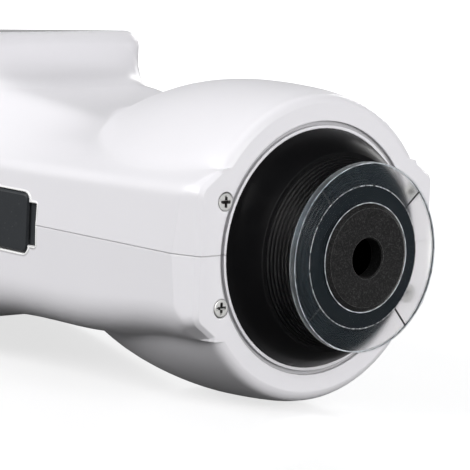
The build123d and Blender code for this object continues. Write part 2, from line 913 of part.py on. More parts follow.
def key(name):
    """Round key with its retaining flange under the housing's top."""
    x, y = key_spot(name)
    bottom = -wall - clearance / 2 - key_flange
    cap = Cylinder(key_radius, key_proud - bottom, align=(Align.CENTER, Align.CENTER, Align.MIN))
    cap = Pos(0, 0, bottom) * cap
    cap = fillet(cap.faces().sort_by(Axis.Z)[-1].edges(), 0.5)
    flange = Cylinder(key_radius + key_flange_width, key_flange, align=(Align.CENTER, Align.CENTER, Align.MIN))
    return panel * Pos(x, y, 0) * (cap + Pos(0, 0, bottom) * flange)


# Port side


def port_flap():
    """Rubber cover of the ports, its neck bending at the nose-side end."""
    plate = side_cut(
        flap_centre,
        flap_length - 2 * flap_clearance,
        flap_height - 2 * flap_clearance,
        flap_corner_radius - flap_clearance,
        flap_outer_y,
        flap_inner_y,
    )
    outer = [e for e in plate.edges() if abs(e.center().Y - flap_outer_y) < 1e-4]
    plate = chamfer(outer, 0.45)
    height = strip_height - 2 * flap_clearance
    strip = block(
        (behind(flap_start) - 1, hinge_x),
        (hinge_y - hinge_radius, flap_inner_y),
        (axis_z - height / 2, axis_z + height / 2),
    )
    barrel = Pos(hinge_x, hinge_y, axis_z) * Cylinder(hinge_radius, height)
    strip &= block((-reach, hinge_x), (-reach, hinge_y + hinge_radius), (-reach, reach))
    return plate + strip + barrel


def flap_anchor():
    """Root of the flap, held behind the wall."""
    low = -inner_wall_y + 0.15
    return block((hinge_x - 1.0, hinge_x + 6.0), (low, low + 1.2), (axis_z - 4, axis_z + 4))


def port_panel():
    """Dark inner panel behind the flap, with the mouths of the sockets."""
    low = -inner_wall_y + 0.1
    panel_end = hinge_x - 1.3
    plate = block((behind(flap_start + flap_length) - 1, panel_end), (low, low + port_panel_thickness), (axis_z - 7.6, axis_z + 7.6))
    plate -= block(
        (behind(usb_distance) - usb_width / 2 - 0.1, behind(usb_distance) + usb_width / 2 + 0.1),
        (low - 1, low + 3),
        (axis_z - usb_height / 2 - 0.1, axis_z + usb_height / 2 + 0.1),
    )
    hole = Cylinder(jack_bore + 0.7, 10, rotation=(90, 0, 0))
    return plate - Pos(behind(jack_distance), low, jack_z()) * hole


def jack_z():
    """Height of the power jack's axis above its board."""
    return axis_z - usb_height / 2 + jack_side / 2


def port_board():
    """Small board that carries both sockets."""
    top = axis_z - usb_height / 2 - clearance / 2
    low = -inner_wall_y + 2 * port_panel_thickness
    return block((behind(84), behind(56)), (low, low + port_board_width), (top - board_thickness, top))


def usb_socket():
    """Data socket: a thin metal shell round its tongue."""
    mouth = -inner_wall_y + 0.2
    x = behind(usb_distance)
    low, high = axis_z - usb_height / 2, axis_z + usb_height / 2
    body = block((x - usb_width / 2, x + usb_width / 2), (mouth, mouth + usb_depth), (low, high))
    body -= block((x - usb_width / 2 + 0.4, x + usb_width / 2 - 0.4), (mouth - 1, mouth + usb_depth - 1.5), (low + 0.4, high - 0.4))
    return body + block((x - 2.4, x + 2.4), (mouth + 1, mouth + usb_depth - 1), (axis_z - 0.4, axis_z + 0.4))


def dc_jack():
    """Power jack with its centre pin."""
    low = -inner_wall_y + 0.1 + port_panel_thickness + slit
    x = behind(jack_distance)
    body = block((x - jack_side / 2, x + jack_side / 2), (low, low + jack_depth), (axis_z - usb_height / 2, axis_z - usb_height / 2 + jack_side))
    place = Pos(x, low, jack_z())
    body -= place * Cylinder(jack_bore, 2 * (jack_depth - 1.5), rotation=(90, 0, 0))
    pin = Pos(x, low + jack_depth / 2 + 0.5, jack_z()) * Cylinder(jack_pin, jack_depth - 2, rotation=(90, 0, 0))
    return body + pin


# Test button side


def test_button():
    """Oval test button with its flange inside the wall."""
    inner = inner_wall_y - 0.1
    cap = side_cut(button_distance, button_length, button_height, button_height / 2 - 0.01, inner - button_flange, half_width + button_proud)
    rim = [e for e in cap.edges() if abs(e.center().Y - half_width - button_proud) < 1e-4]
    cap = fillet(rim, 0.4)
    width = 2 * button_flange_width
    return cap + side_cut(
        button_distance,
        button_length + width,
        button_height + width,
        button_height / 2 + button_flange_width - 0.01,
        inner - button_flange,
        inner,
    )


switch_tip_y = inner_wall_y - 0.1 - button_flange - button_travel - 2 * slit
test_board_y = switch_tip_y - plunger_height - test_switch_height


def test_board():
    """Board behind the test button."""
    return block(
        (behind(button_distance) - 11, behind(button_distance) + 11),
        (test_board_y - slit - board_thickness, test_board_y - slit),
        (axis_z - button_height / 2 - 1.4, axis_z + 8),
    )


def test_switch():
    """Switch that the test button presses."""
    body = block(
        (behind(button_distance) - test_switch_side / 2, behind(button_distance) + test_switch_side / 2),
        (test_board_y, test_board_y + test_switch_height),
        (axis_z - test_switch_side / 2, axis_z + test_switch_side / 2),
    )
    plunger = Cylinder(plunger_radius, plunger_height + 1, rotation=(90, 0, 0))
    return body + Pos(behind(button_distance), switch_tip_y - (plunger_height + 1) / 2, axis_z) * plunger


# Battery, door, feet and strap bar


def battery_pack():
    """Rechargeable pack in the bay."""
    low = foot_proud + door_thickness + 2 * clearance
    pack = Pos(behind(door_distance) + 2.5, 0, low + pack_height / 2) * Box(pack_length, pack_width, pack_height)
    return fillet(pack.edges().filter_by(Axis.X), 3.0)


def battery_contacts():
    """Contact block at the front end of the bay."""
    front = behind(door_distance) + door_length / 2 - 1 - slit
    low = foot_proud + door_thickness + pack_height / 2
    start = behind(door_distance) + 2.5 + pack_length / 2 + slit
    return block((start, front), (-6, 6), (low - 3, low + 3))


def battery_door():
    """Door in the underside of the heel."""
    plate = Pos(behind(door_distance), 0, foot_proud) * extrude(rounded_plate(door_length, door_width, 1.8), door_thickness)
    hole = Pos(behind(door_screw_distance), 0, foot_proud)
    plate -= hole * Cylinder(screw_head + 0.1, 2 * screw_head_height)
    return plate - hole * Cylinder(screw_radius + 0.1, 10)


def door_screw():
    """Screw that holds the battery door."""
    return Pos(behind(door_screw_distance), 0, foot_proud + screw_head_height - slit) * Rot(180, 0, 0) * screw(8.0)


def feet():
    """Four rubber feet under the heel."""
    pads = []
    for distance, y in foot_places:
        for sign in (1, -1):
            pad = Cylinder(foot_radius, foot_depth + foot_proud - slit, align=(Align.CENTER, Align.CENTER, Align.MIN))
            pad = fillet(pad.faces().sort_by(Axis.Z)[0].edges(), 0.3)
            pads.append(Pos(behind(distance), sign * y, 0) * pad)
    return Compound(pads)


def strap_bar():
    """Steel bar across the pocket in the tail."""
    return Pos(rear_x + 1.6, 0, axis_z - strap_drop) * Cylinder(strap_bar_radius, strap_height + 1.6)


nodes = {
    "top_shell": top_shell,
    "bottom_shell": bottom_shell,
    "shell_screws": shell_screws,
    "nose_collar": nose_collar,
    "locator_disc": locator_disc,
    "aperture_plate": aperture_plate,
    "face_screws": face_screws,
    "nose_carrier": nose_carrier,
    "sphere_front": sphere_front,
    "sphere_rear": sphere_rear,
    "sphere_screws": sphere_screws,
    "sensor_barrel": sensor_barrel,
    "sensor_lens": sensor_lens,
    "sensor_board": sensor_board,
    "light_sensor": light_sensor,
    "lamp_board": lamp_board,
    "lamp": lamp,
    "display_window": display_window,
    "lcd_module": lcd_module,
    "display_ribbon": display_ribbon,
    "main_board": main_board,
    "board_screws": board_screws,
    "processor": processor,
    "buzzer": buzzer,
    "key_switches": key_switches,
    "port_flap": port_flap,
    "flap_anchor": flap_anchor,
    "port_panel": port_panel,
    "port_board": port_board,
    "usb_socket": usb_socket,
    "dc_jack": dc_jack,
    "test_button": test_button,
    "test_board": test_board,
    "test_switch": test_switch,
    "battery_pack": battery_pack,
    "battery_contacts": battery_contacts,
    "battery_door": battery_door,
    "door_screw": door_screw,
    "feet": feet,
    "strap_bar": strap_bar,
}

for node, make in nodes.items():
    export_step(make(), f"parts/{node}.step")

for node in key_places:
    export_step(key(node), f"parts/{node}.step")
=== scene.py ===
"""Handheld tristimulus colorimeter in a plain studio: finishes, fine detail, camera and light."""

import math

import bpy
from mathutils import Matrix, Vector


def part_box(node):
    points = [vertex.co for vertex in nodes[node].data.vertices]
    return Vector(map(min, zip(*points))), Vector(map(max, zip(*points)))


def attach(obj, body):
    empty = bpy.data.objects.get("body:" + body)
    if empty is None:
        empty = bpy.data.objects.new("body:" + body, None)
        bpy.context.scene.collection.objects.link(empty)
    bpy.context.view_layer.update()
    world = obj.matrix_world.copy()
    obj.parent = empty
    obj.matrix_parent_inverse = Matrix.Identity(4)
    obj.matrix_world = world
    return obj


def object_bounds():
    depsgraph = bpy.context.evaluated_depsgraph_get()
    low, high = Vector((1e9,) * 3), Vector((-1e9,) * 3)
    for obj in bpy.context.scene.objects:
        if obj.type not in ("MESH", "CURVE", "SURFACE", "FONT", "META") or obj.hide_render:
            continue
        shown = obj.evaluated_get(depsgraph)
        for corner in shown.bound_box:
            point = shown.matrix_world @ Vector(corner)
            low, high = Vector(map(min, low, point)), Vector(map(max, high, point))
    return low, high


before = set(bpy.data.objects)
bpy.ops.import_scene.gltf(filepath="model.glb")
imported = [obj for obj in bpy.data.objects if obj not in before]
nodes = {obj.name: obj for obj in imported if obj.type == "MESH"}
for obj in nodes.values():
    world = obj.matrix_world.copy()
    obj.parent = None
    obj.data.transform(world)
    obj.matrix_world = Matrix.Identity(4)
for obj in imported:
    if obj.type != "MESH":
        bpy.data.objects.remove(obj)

cad_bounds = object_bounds()

MM = 0.001

# Places taken from the frame, in metres
plate_low, plate_high = (Vector(corner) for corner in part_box("aperture_plate"))
disc_low, disc_high = (Vector(corner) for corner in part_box("locator_disc"))
flap_low, flap_high = (Vector(corner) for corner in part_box("port_flap"))
screws_high = Vector(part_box("face_screws")[1])
axis_z = (plate_low.z + plate_high.z) / 2
face_x = screws_high.x
disc_radius = (disc_high.y - disc_low.y) / 2
plate_radius = (plate_high.y - plate_low.y) / 2

# Features that the finishes and the fine pieces follow
bond_radius = 14.4 * MM
neck_free_length = 2.2 * MM
neck_half_height = 4.4 * MM
flap_corner = 2.0 * MM
neck_corner = 0.5 * MM
groove_radius = 26.6 * MM
groove_depth = 0.6 * MM
display_housing_height = 36.6 * MM
display_housing_setback = 88.0 * MM
display_housing_tail_gap = 4.0 * MM
display_housing_width = 53.0 * MM
display_housing_corner = 6.0 * MM

# Marks that only the finishes have, among them painted shade and a painted highlight
bead_offset = 0.3 * MM
bead_height = 0.18 * MM
seam_depth = 0.03 * MM
screw_mark_radius = 2.0 * MM
recess_half_width = 0.2 * MM
recess_reach = 1.0 * MM
sphere_painted_shade_start = face_x - 14.0 * MM


def deselect():
    """Leaves nothing selected, so that an operator acts only on what is made next."""
    bpy.ops.object.select_all(action="DESELECT")


# Shader node groups

def new_group(name, inputs, outputs):
    """Empty shader node group with named number inputs and typed outputs."""
    group = bpy.data.node_groups.new(name, "ShaderNodeTree")
    for label, value in inputs.items():
        socket = group.interface.new_socket(label, in_out="INPUT", socket_type="NodeSocketFloat")
        socket.default_value = value
    for label, kind in outputs.items():
        group.interface.new_socket(label, in_out="OUTPUT", socket_type=kind)
    return group, group.nodes.new("NodeGroupInput"), group.nodes.new("NodeGroupOutput")


def add(tree, kind, sockets=None, **settings):
    """Node of a kind, with its settings and its sockets' values or links."""
    node = tree.nodes.new(kind)
    for name, value in settings.items():
        setattr(node, name, value)
    for name, value in (sockets or {}).items():
        if isinstance(value, bpy.types.NodeSocket):
            tree.links.new(value, node.inputs[name])
        else:
            node.inputs[name].default_value = value
    return node


def math_node(tree, operation, a, b=0.0):
    """Output of a Math node on two values or sockets."""
    return add(tree, "ShaderNodeMath", {0: a, 1: b}, operation=operation).outputs[0]


def span(tree, value, low, high, to_low=0.0, to_high=1.0):
    """Output of a clamped Map Range node."""
    sockets = {"Value": value, "From Min": low, "From Max": high, "To Min": to_low, "To Max": to_high}
    return add(tree, "ShaderNodeMapRange", sockets, clamp=True).outputs["Result"]


def moulded_skin():
    """Fine moulded texture: a tone that drifts, a gloss that varies and the height of the grain."""
    group, inputs, outputs = new_group(
        "moulded_skin",
        {"Grain Scale": 4000.0, "Drift Scale": 25.0},
        {"Tone": "NodeSocketFloat", "Gloss": "NodeSocketFloat", "Height": "NodeSocketFloat"},
    )
    place = add(group, "ShaderNodeTexCoord").outputs["Object"]
    wide = {"Vector": place, "Scale": inputs.outputs["Drift Scale"], "Detail": 3.0}
    drift = add(group, "ShaderNodeTexNoise", wide)
    fine = {"Vector": place, "Scale": inputs.outputs["Grain Scale"], "Detail": 4.0}
    grain = add(group, "ShaderNodeTexNoise", fine)
    patches = math_node(group, "MULTIPLY", inputs.outputs["Drift Scale"], 6.0)
    streaked = {"Vector": place, "Scale": patches, "Detail": 5.0, "Distortion": 1.5}
    smear = add(group, "ShaderNodeTexNoise", streaked)
    group.links.new(drift.outputs["Fac"], outputs.inputs["Tone"])
    group.links.new(smear.outputs["Fac"], outputs.inputs["Gloss"])
    group.links.new(grain.outputs["Fac"], outputs.inputs["Height"])
    return group


def rounded_edges():
    """Normal that rounds sharp edges, and a mask that is 1 along them."""
    group, inputs, outputs = new_group(
        "rounded_edges", {"Radius": 0.0003}, {"Mask": "NodeSocketFloat", "Normal": "NodeSocketVector"}
    )
    bevel = add(group, "ShaderNodeBevel", {"Radius": inputs.outputs["Radius"]}, samples=6)
    geometry = add(group, "ShaderNodeNewGeometry")
    sockets = {0: bevel.outputs["Normal"], 1: geometry.outputs["Normal"]}
    agreement = add(group, "ShaderNodeVectorMath", sockets, operation="DOT_PRODUCT").outputs["Value"]
    group.links.new(span(group, agreement, 0.98, 0.75), outputs.inputs["Mask"])
    group.links.new(bevel.outputs["Normal"], outputs.inputs["Normal"])
    return group


def parting_line():
    """Mask and height of the thin line where the two shells meet."""
    group, inputs, outputs = new_group(
        "parting_line",
        {"Level": 0.0, "Width": 0.00015},
        {"Mask": "NodeSocketFloat", "Height": "NodeSocketFloat"},
    )
    place = add(group, "ShaderNodeTexCoord").outputs["Object"]
    height = add(group, "ShaderNodeSeparateXYZ", {0: place}).outputs["Z"]
    offset = math_node(group, "ABSOLUTE", math_node(group, "SUBTRACT", height, inputs.outputs["Level"]))
    mask = span(group, math_node(group, "DIVIDE", offset, inputs.outputs["Width"]), 0.4, 1.0, 1.0, 0.0)
    group.links.new(mask, outputs.inputs["Mask"])
    group.links.new(math_node(group, "SUBTRACT", 1.0, mask), outputs.inputs["Height"])
    return group


def lint():
    """Mask of sparse fine dust and light scuffs."""
    group, inputs, outputs = new_group("lint", {"Amount": 0.3, "Scale": 900.0}, {"Mask": "NodeSocketFloat"})
    place = add(group, "ShaderNodeTexCoord").outputs["Object"]
    cells = add(group, "ShaderNodeTexVoronoi", {"Vector": place, "Scale": inputs.outputs["Scale"]})
    specks = span(group, cells.outputs["Distance"], 0.10, 0.16, 1.0, 0.0)
    clouds = add(group, "ShaderNodeTexNoise", {"Vector": place, "Scale": 120.0, "Detail": 2.0}).outputs["Fac"]
    spread = span(group, clouds, 0.45, 0.7)
    patchy = math_node(group, "MULTIPLY", specks, spread)
    mask = math_node(group, "MULTIPLY", patchy, inputs.outputs["Amount"])
    group.links.new(mask, outputs.inputs["Mask"])
    return group


def rounded_outline():
    """Distance outside a rounded rectangle that lies in the XZ plane."""
    group, inputs, outputs = new_group(
        "rounded_outline",
        {"Middle X": 0.0, "Middle Z": 0.0, "Half X": 0.01, "Half Z": 0.005, "Corner": 0.001},
        {"Distance": "NodeSocketFloat"},
    )
    place = add(group, "ShaderNodeTexCoord").outputs["Object"]
    parts = add(group, "ShaderNodeSeparateXYZ", {0: place})
    reach = {}
    for axis in ("X", "Z"):
        offset = math_node(group, "SUBTRACT", parts.outputs[axis], inputs.outputs[f"Middle {axis}"])
        straight = math_node(group, "SUBTRACT", inputs.outputs[f"Half {axis}"], inputs.outputs["Corner"])
        beyond = math_node(group, "SUBTRACT", math_node(group, "ABSOLUTE", offset), straight)
        reach[axis] = math_node(group, "MAXIMUM", beyond, 0.0)
    corner = add(group, "ShaderNodeCombineXYZ", reach)
    length = add(group, "ShaderNodeVectorMath", {0: corner.outputs[0]}, operation="LENGTH")
    distance = math_node(group, "SUBTRACT", length.outputs["Value"], inputs.outputs["Corner"])
    group.links.new(distance, outputs.inputs["Distance"])
    return group


# Numbers of the colour sockets of a Mix node, whose sockets share their names
MIX_COLOUR_INPUTS = (6, 7)
MIX_COLOUR_OUTPUT = 2

SKIN = moulded_skin()
OUTLINE = rounded_outline()
EDGES = rounded_edges()
SEAM = parting_line()
LINT = lint()


def group_node(tree, group, **values):
    """Node that places a group in a material, with its own values."""
    node = add(tree, "ShaderNodeGroup", node_tree=group)
    for label, value in values.items():
        node.inputs[label.replace("_", " ")].default_value = value
    return node


def new_material(name):
    """Material with its tree and its Principled shader."""
    material = bpy.data.materials.new(name)
    material.use_nodes = True
    return material, material.node_tree, material.node_tree.nodes["Principled BSDF"]


def mix_colour(tree, share, a, b):
    """Colour output between two colours."""
    node = add(tree, "ShaderNodeMix", {"Factor": share}, data_type="RGBA")
    for number, value in zip(MIX_COLOUR_INPUTS, (a, b)):
        if isinstance(value, bpy.types.NodeSocket):
            tree.links.new(value, node.inputs[number])
        else:
            node.inputs[number].default_value = (*value, 1.0)
    return node.outputs[MIX_COLOUR_OUTPUT]


def shaded(colour, share):
    """Colour with each channel at a share of its value."""
    return tuple(min(1.0, channel * share) for channel in colour)


def place_along(tree):
    """Separate X, Y and Z outputs of the place on the part."""
    place = add(tree, "ShaderNodeTexCoord").outputs["Object"]
    return add(tree, "ShaderNodeSeparateXYZ", {0: place}).outputs


def axis_radius(tree):
    """Distance from the measuring axis, and the place along X."""
    place = place_along(tree)
    across = math_node(tree, "POWER", place["Y"], 2.0)
    up = math_node(tree, "POWER", math_node(tree, "SUBTRACT", place["Z"], axis_z), 2.0)
    return math_node(tree, "SQRT", math_node(tree, "ADD", across, up)), place["X"]


def blend_radius(tree, edge, blend):
    """Edge radius that is small near the face and the seam and large on the open parts of the shells."""
    place = place_along(tree)
    behind = span(tree, place["X"], face_x - 5.0 * MM, face_x - 2.0 * MM, 1.0, 0.0)
    offset = math_node(tree, "ABSOLUTE", math_node(tree, "SUBTRACT", place["Z"], axis_z))
    away = span(tree, offset, 9.0 * MM, 13.0 * MM)
    return span(tree, math_node(tree, "MULTIPLY", behind, away), 0.0, 1.0, edge, blend)


def flap_bead(tree):
    """Mask of the fine bead that the shells carry round the port flap and its neck.

    The neck's outline runs on under the flap, so that the two join.
    """
    middle_z = (flap_low.z + flap_high.z) / 2
    flap_end = flap_high.x - neck_free_length
    cover = group_node(
        tree,
        OUTLINE,
        Middle_X=(flap_low.x + flap_end) / 2,
        Middle_Z=middle_z,
        Half_X=(flap_end - flap_low.x) / 2,
        Half_Z=(flap_high.z - flap_low.z) / 2,
        Corner=flap_corner,
    )
    neck_half_length = 2.0 * MM
    neck = group_node(
        tree,
        OUTLINE,
        Middle_X=flap_high.x - neck_half_length,
        Middle_Z=middle_z,
        Half_X=neck_half_length,
        Half_Z=neck_half_height,
        Corner=neck_corner,
    )
    gap = math_node(tree, "MINIMUM", cover.outputs["Distance"], neck.outputs["Distance"])
    ridge = math_node(tree, "ABSOLUTE", math_node(tree, "SUBTRACT", gap, bead_offset))
    bead = span(tree, ridge, 0.1 * MM, 0.45 * MM, 1.0, 0.0)
    flap_side = span(tree, place_along(tree)["Y"], -2.0 * MM, -1.0 * MM, 1.0, 0.0)
    return math_node(tree, "MULTIPLY", bead, flap_side)


def nose_groove(tree):
    """Mask of the shade down in the groove round the nose."""
    radius, along = axis_radius(tree)
    near = span(tree, radius, groove_radius, groove_radius + 0.1 * MM, 1.0, 0.0)
    sunk = span(tree, along, face_x - groove_depth, face_x - 0.1 * MM, 1.0, 0.0)
    front = span(tree, along, face_x - 2.0 * MM, face_x - 1.9 * MM)
    return math_node(tree, "MULTIPLY", math_node(tree, "MULTIPLY", near, sunk), front)


def shell_marks(tree, colour, base, height):
    """Base colour and height of the shells with their seam, nose groove and flap bead; the seam and the
    groove carry painted shade, the bead a painted highlight.
    """
    line = group_node(tree, SEAM, Level=axis_z)
    # Painted shade in the gap between the shells along the seam
    base = mix_colour(tree, line.outputs["Mask"], base, shaded(colour, 0.85))
    seam = math_node(tree, "MULTIPLY", line.outputs["Height"], seam_depth)
    height = math_node(tree, "ADD", height, seam)
    base = mix_colour(tree, nose_groove(tree), base, shaded(colour, 0.55))
    bead = flap_bead(tree)
    # Painted highlight on the flap bead, whose bump is real
    base = mix_colour(tree, bead, base, (0.98, 0.98, 0.98))
    return base, math_node(tree, "ADD", height, math_node(tree, "MULTIPLY", bead, bead_height))


def moulded(name, colour, roughness, metallic=0.0, grain=4000.0, depth=0.02, tone=0.06, edge=0.0003,
            edge_light=0.15, gloss=0.08, shell=False, dust=0.0, coat=0.0, specular=0.5, blend=0.0,
            speckle=0.0):
    """Moulded, cast or painted finish: drifting tone, grain, rounded edges and lighter edges, partly wear and
    partly a painted highlight.
    """
    material, tree, shader = new_material(name)
    skin = group_node(tree, SKIN, Grain_Scale=grain)
    edges = group_node(tree, EDGES, Radius=edge)
    if blend:
        tree.links.new(blend_radius(tree, edge, blend), edges.inputs["Radius"])
    base = mix_colour(tree, skin.outputs["Tone"], shaded(colour, 1 - tone), shaded(colour, 1 + tone))
    # Lighter colour along rounded edges and blended creases: partly wear, partly a painted highlight
    wear_and_highlight = tuple(min(1.0, channel + edge_light * (1 - channel)) for channel in colour)
    base = mix_colour(tree, edges.outputs["Mask"], base, wear_and_highlight)
    height = math_node(tree, "MULTIPLY", skin.outputs["Height"], depth * MM)
    if dust:
        specks = group_node(tree, LINT, Amount=dust)
        base = mix_colour(tree, specks.outputs["Mask"], base, (0.6, 0.6, 0.6))
    if shell:
        base, height = shell_marks(tree, colour, base, height)
    if speckle:
        flecks = span(tree, skin.outputs["Height"], 0.5, 0.68, 0.0, speckle)
        base = mix_colour(tree, flecks, base, (0.3, 0.3, 0.3))
    relief = {"Height": height, "Distance": 1.0, "Normal": edges.outputs["Normal"]}
    bump = add(tree, "ShaderNodeBump", relief)
    rough = span(tree, skin.outputs["Gloss"], 0.25, 0.75, roughness - gloss, roughness + gloss)
    tree.links.new(base, shader.inputs["Base Color"])
    tree.links.new(bump.outputs["Normal"], shader.inputs["Normal"])
    tree.links.new(rough, shader.inputs["Roughness"])
    shader.inputs["Metallic"].default_value = metallic
    shader.inputs["Coat Weight"].default_value = coat
    shader.inputs["Specular IOR Level"].default_value = specular
    return material


def clear(name, colour, roughness=0.03, ior=1.49):
    """Clear plastic or glass with a faint drift in its colour and gloss."""
    material, tree, shader = new_material(name)
    skin = group_node(tree, SKIN, Grain_Scale=900.0)
    tint = mix_colour(tree, skin.outputs["Tone"], shaded(colour, 0.98), colour)
    tree.links.new(tint, shader.inputs["Base Color"])
    rough = span(tree, skin.outputs["Gloss"], 0.3, 0.7, roughness, roughness * 2)
    tree.links.new(rough, shader.inputs["Roughness"])
    shader.inputs["Transmission Weight"].default_value = 1.0
    shader.inputs["IOR"].default_value = ior
    return material


def locator_acrylic():
    """Clear disc, matt at the back outside its bond and frosted round its cut rim."""
    material = clear("locator_acrylic", (0.985, 0.995, 1.0), 0.02)
    tree = material.node_tree
    shader = tree.nodes["Principled BSDF"]
    polish = shader.inputs["Roughness"].links[0].from_socket
    radius, along = axis_radius(tree)
    rim = span(tree, radius, disc_radius - 0.15 * MM, disc_radius - 0.05 * MM, 0.0, 0.3)
    rear = span(tree, along, disc_low.x + 0.02 * MM, disc_low.x + 0.06 * MM, 0.16, 0.0)
    free = span(tree, radius, bond_radius - 0.1 * MM, bond_radius)
    matt = math_node(tree, "MULTIPLY", rear, free)
    rough = math_node(tree, "ADD", polish, math_node(tree, "MAXIMUM", rim, matt))
    tree.links.new(rough, shader.inputs["Roughness"])
    shader.inputs["Specular IOR Level"].default_value = 0.25
    shader.inputs["Specular Tint"].default_value = (0.5, 0.78, 1.0, 1.0)
    return material


def screw_steel():
    """Bright steel with painted shade in the cross recess and round the edge of each of the four face screws.
    """
    material = moulded("bright_screw_steel", (0.8, 0.8, 0.79), 0.3, metallic=0.4, grain=5000.0, depth=0.004,
                       edge=0.0001)
    tree = material.node_tree
    shader = tree.nodes["Principled BSDF"]
    steel = shader.inputs["Base Color"].links[0].from_socket
    place = place_along(tree)
    across = math_node(tree, "ABSOLUTE", place["Y"])
    across = math_node(tree, "SUBTRACT", across, screws_high.y - screw_mark_radius)
    up = math_node(tree, "ABSOLUTE", math_node(tree, "SUBTRACT", place["Z"], axis_z))
    up = math_node(tree, "SUBTRACT", up, screws_high.z - axis_z - screw_mark_radius)
    offset = add(tree, "ShaderNodeCombineXYZ", {0: across, 1: up}).outputs[0]
    radius = add(tree, "ShaderNodeVectorMath", {0: offset}, operation="LENGTH").outputs["Value"]
    nearer = math_node(tree, "MINIMUM", math_node(tree, "ABSOLUTE", across), math_node(tree, "ABSOLUTE", up))
    arm = span(tree, nearer, recess_half_width, recess_half_width + 0.14 * MM, 1.0, 0.0)
    reach = span(tree, radius, recess_reach, recess_reach + 0.15 * MM, 1.0, 0.0)
    cross = math_node(tree, "MULTIPLY", arm, reach)
    edge = span(tree, radius, screw_mark_radius - 0.3 * MM, screw_mark_radius - 0.12 * MM, 0.0, 0.75)
    # Painted shade in the cross recess and in the gap round each head
    dark = math_node(tree, "MAXIMUM", cross, edge)
    tree.links.new(mix_colour(tree, dark, steel, (0.02, 0.018, 0.016)), shader.inputs["Base Color"])
    return material


def sphere_coating():
    """Matt white coating of the sphere, with painted shade in black towards the aperture, where the real
    coating is white.
    """
    material = moulded("sphere_coating", (0.8, 0.8, 0.79), 0.8, grain=3500.0, depth=0.03)
    tree = material.node_tree
    shader = tree.nodes["Principled BSDF"]
    white = shader.inputs["Base Color"].links[0].from_socket
    # Painted shade: black from here to the aperture, where the real coating is white
    mask = span(tree, place_along(tree)["X"], sphere_painted_shade_start, sphere_painted_shade_start + 0.1 * MM)
    tree.links.new(mix_colour(tree, mask, white, (0.004, 0.004, 0.004)), shader.inputs["Base Color"])
    shader.inputs["Specular IOR Level"].default_value = 0.0
    return material


# Finishes
SHELL_WHITE = (0.82, 0.812, 0.85)
SHELL_LOOK = {"grain": 2600.0, "depth": 0.004, "tone": 0.02, "gloss": 0.06, "coat": 0.05, "specular": 0.4}

# Each finish with the CAD nodes that it goes on
FINISHES = {
    moulded("white_shell_plastic", SHELL_WHITE, 0.36, edge=0.0004, edge_light=0.3, shell=True, blend=0.0045,
            **SHELL_LOOK): ("top_shell", "bottom_shell"),
    moulded("satin_black_collar", (0.003, 0.003, 0.0035), 0.36, grain=3000.0, depth=0.004, tone=0.2,
            edge=0.0002, edge_light=0.01, specular=0.12): ("nose_collar",),
    moulded("textured_black_plate", (0.0085, 0.0085, 0.009), 0.55, grain=4200.0, depth=0.10, tone=0.4,
            edge=0.00015, edge_light=0.35, specular=0.15, speckle=0.13): ("aperture_plate",),
    screw_steel(): ("face_screws",),
    moulded("plain_steel", (0.55, 0.55, 0.56), 0.32, metallic=1.0, grain=3000.0): (
        "sphere_screws", "board_screws", "shell_screws", "door_screw", "strap_bar", "usb_socket",
        "battery_contacts"),
    moulded("turned_aluminium", (0.62, 0.63, 0.65), 0.38, metallic=1.0, grain=1500.0): (
        "nose_carrier", "sensor_barrel"),
    sphere_coating(): ("sphere_front", "sphere_rear"),
    moulded("circuit_board_green", (0.01, 0.11, 0.05), 0.35, grain=800.0, tone=0.25): (
        "sensor_board", "lamp_board", "main_board", "port_board", "test_board"),
    moulded("chip_black", (0.012, 0.012, 0.013), 0.45, grain=3000.0): (
        "light_sensor", "processor", "buzzer", "key_switches", "test_switch", "dc_jack", "port_panel"),
    moulded("lamp_white", (0.85, 0.83, 0.7), 0.4): ("lamp",),
    moulded("display_black", (0.008, 0.009, 0.011), 0.15, grain=500.0, depth=0.0): ("lcd_module",),
    moulded("ribbon_amber", (0.35, 0.14, 0.03), 0.35): ("display_ribbon",),
    moulded("charcoal_rubber", (0.009, 0.012, 0.016), 0.55, grain=2500.0, depth=0.02, tone=0.12,
            edge=0.00025, edge_light=0.06, dust=0.1): ("port_flap", "flap_anchor"),
    moulded("grey_key_plastic", (0.36, 0.37, 0.39), 0.42, grain=2600.0, depth=0.006): (
        "key_enter", "key_up", "key_down", "key_back", "key_power", "test_button"),
    moulded("battery_wrap", (0.03, 0.10, 0.28), 0.3, grain=700.0): ("battery_pack",),
    moulded("door_plastic", (0.76, 0.765, 0.79), 0.4, grain=2600.0, depth=0.01, tone=0.02): ("battery_door",),
    moulded("foot_rubber", (0.02, 0.02, 0.021), 0.7, grain=2500.0, depth=0.03): ("feet",),
    locator_acrylic(): ("locator_disc",),
    clear("lens_glass", (0.97, 1.0, 0.99), 0.01, 1.52): ("sensor_lens",),
    clear("window_acrylic", (0.9, 0.92, 0.93), 0.02): ("display_window",),
}

for finish, members in FINISHES.items():
    for name in members:
        for slot in nodes[name].material_slots:
            slot.material = finish

# Fine pieces


def shown(piece, finish, body="housing"):
    """Gives a shaped piece its finish, its body and its slot, with its place in its mesh."""
    deselect()
    piece.select_set(True)
    bpy.context.view_layer.objects.active = piece
    bpy.ops.object.transform_apply(location=True, rotation=True, scale=True)
    piece.data.materials.clear()
    piece.data.materials.append(finish)
    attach(piece, body)


def apply_modifier(piece, kind, **settings):
    """Adds a modifier with its settings and applies it."""
    modifier = piece.modifiers.new(kind.lower(), kind)
    for name, value in settings.items():
        setattr(modifier, name, value)
    bpy.ops.object.modifier_apply(modifier=modifier.name)


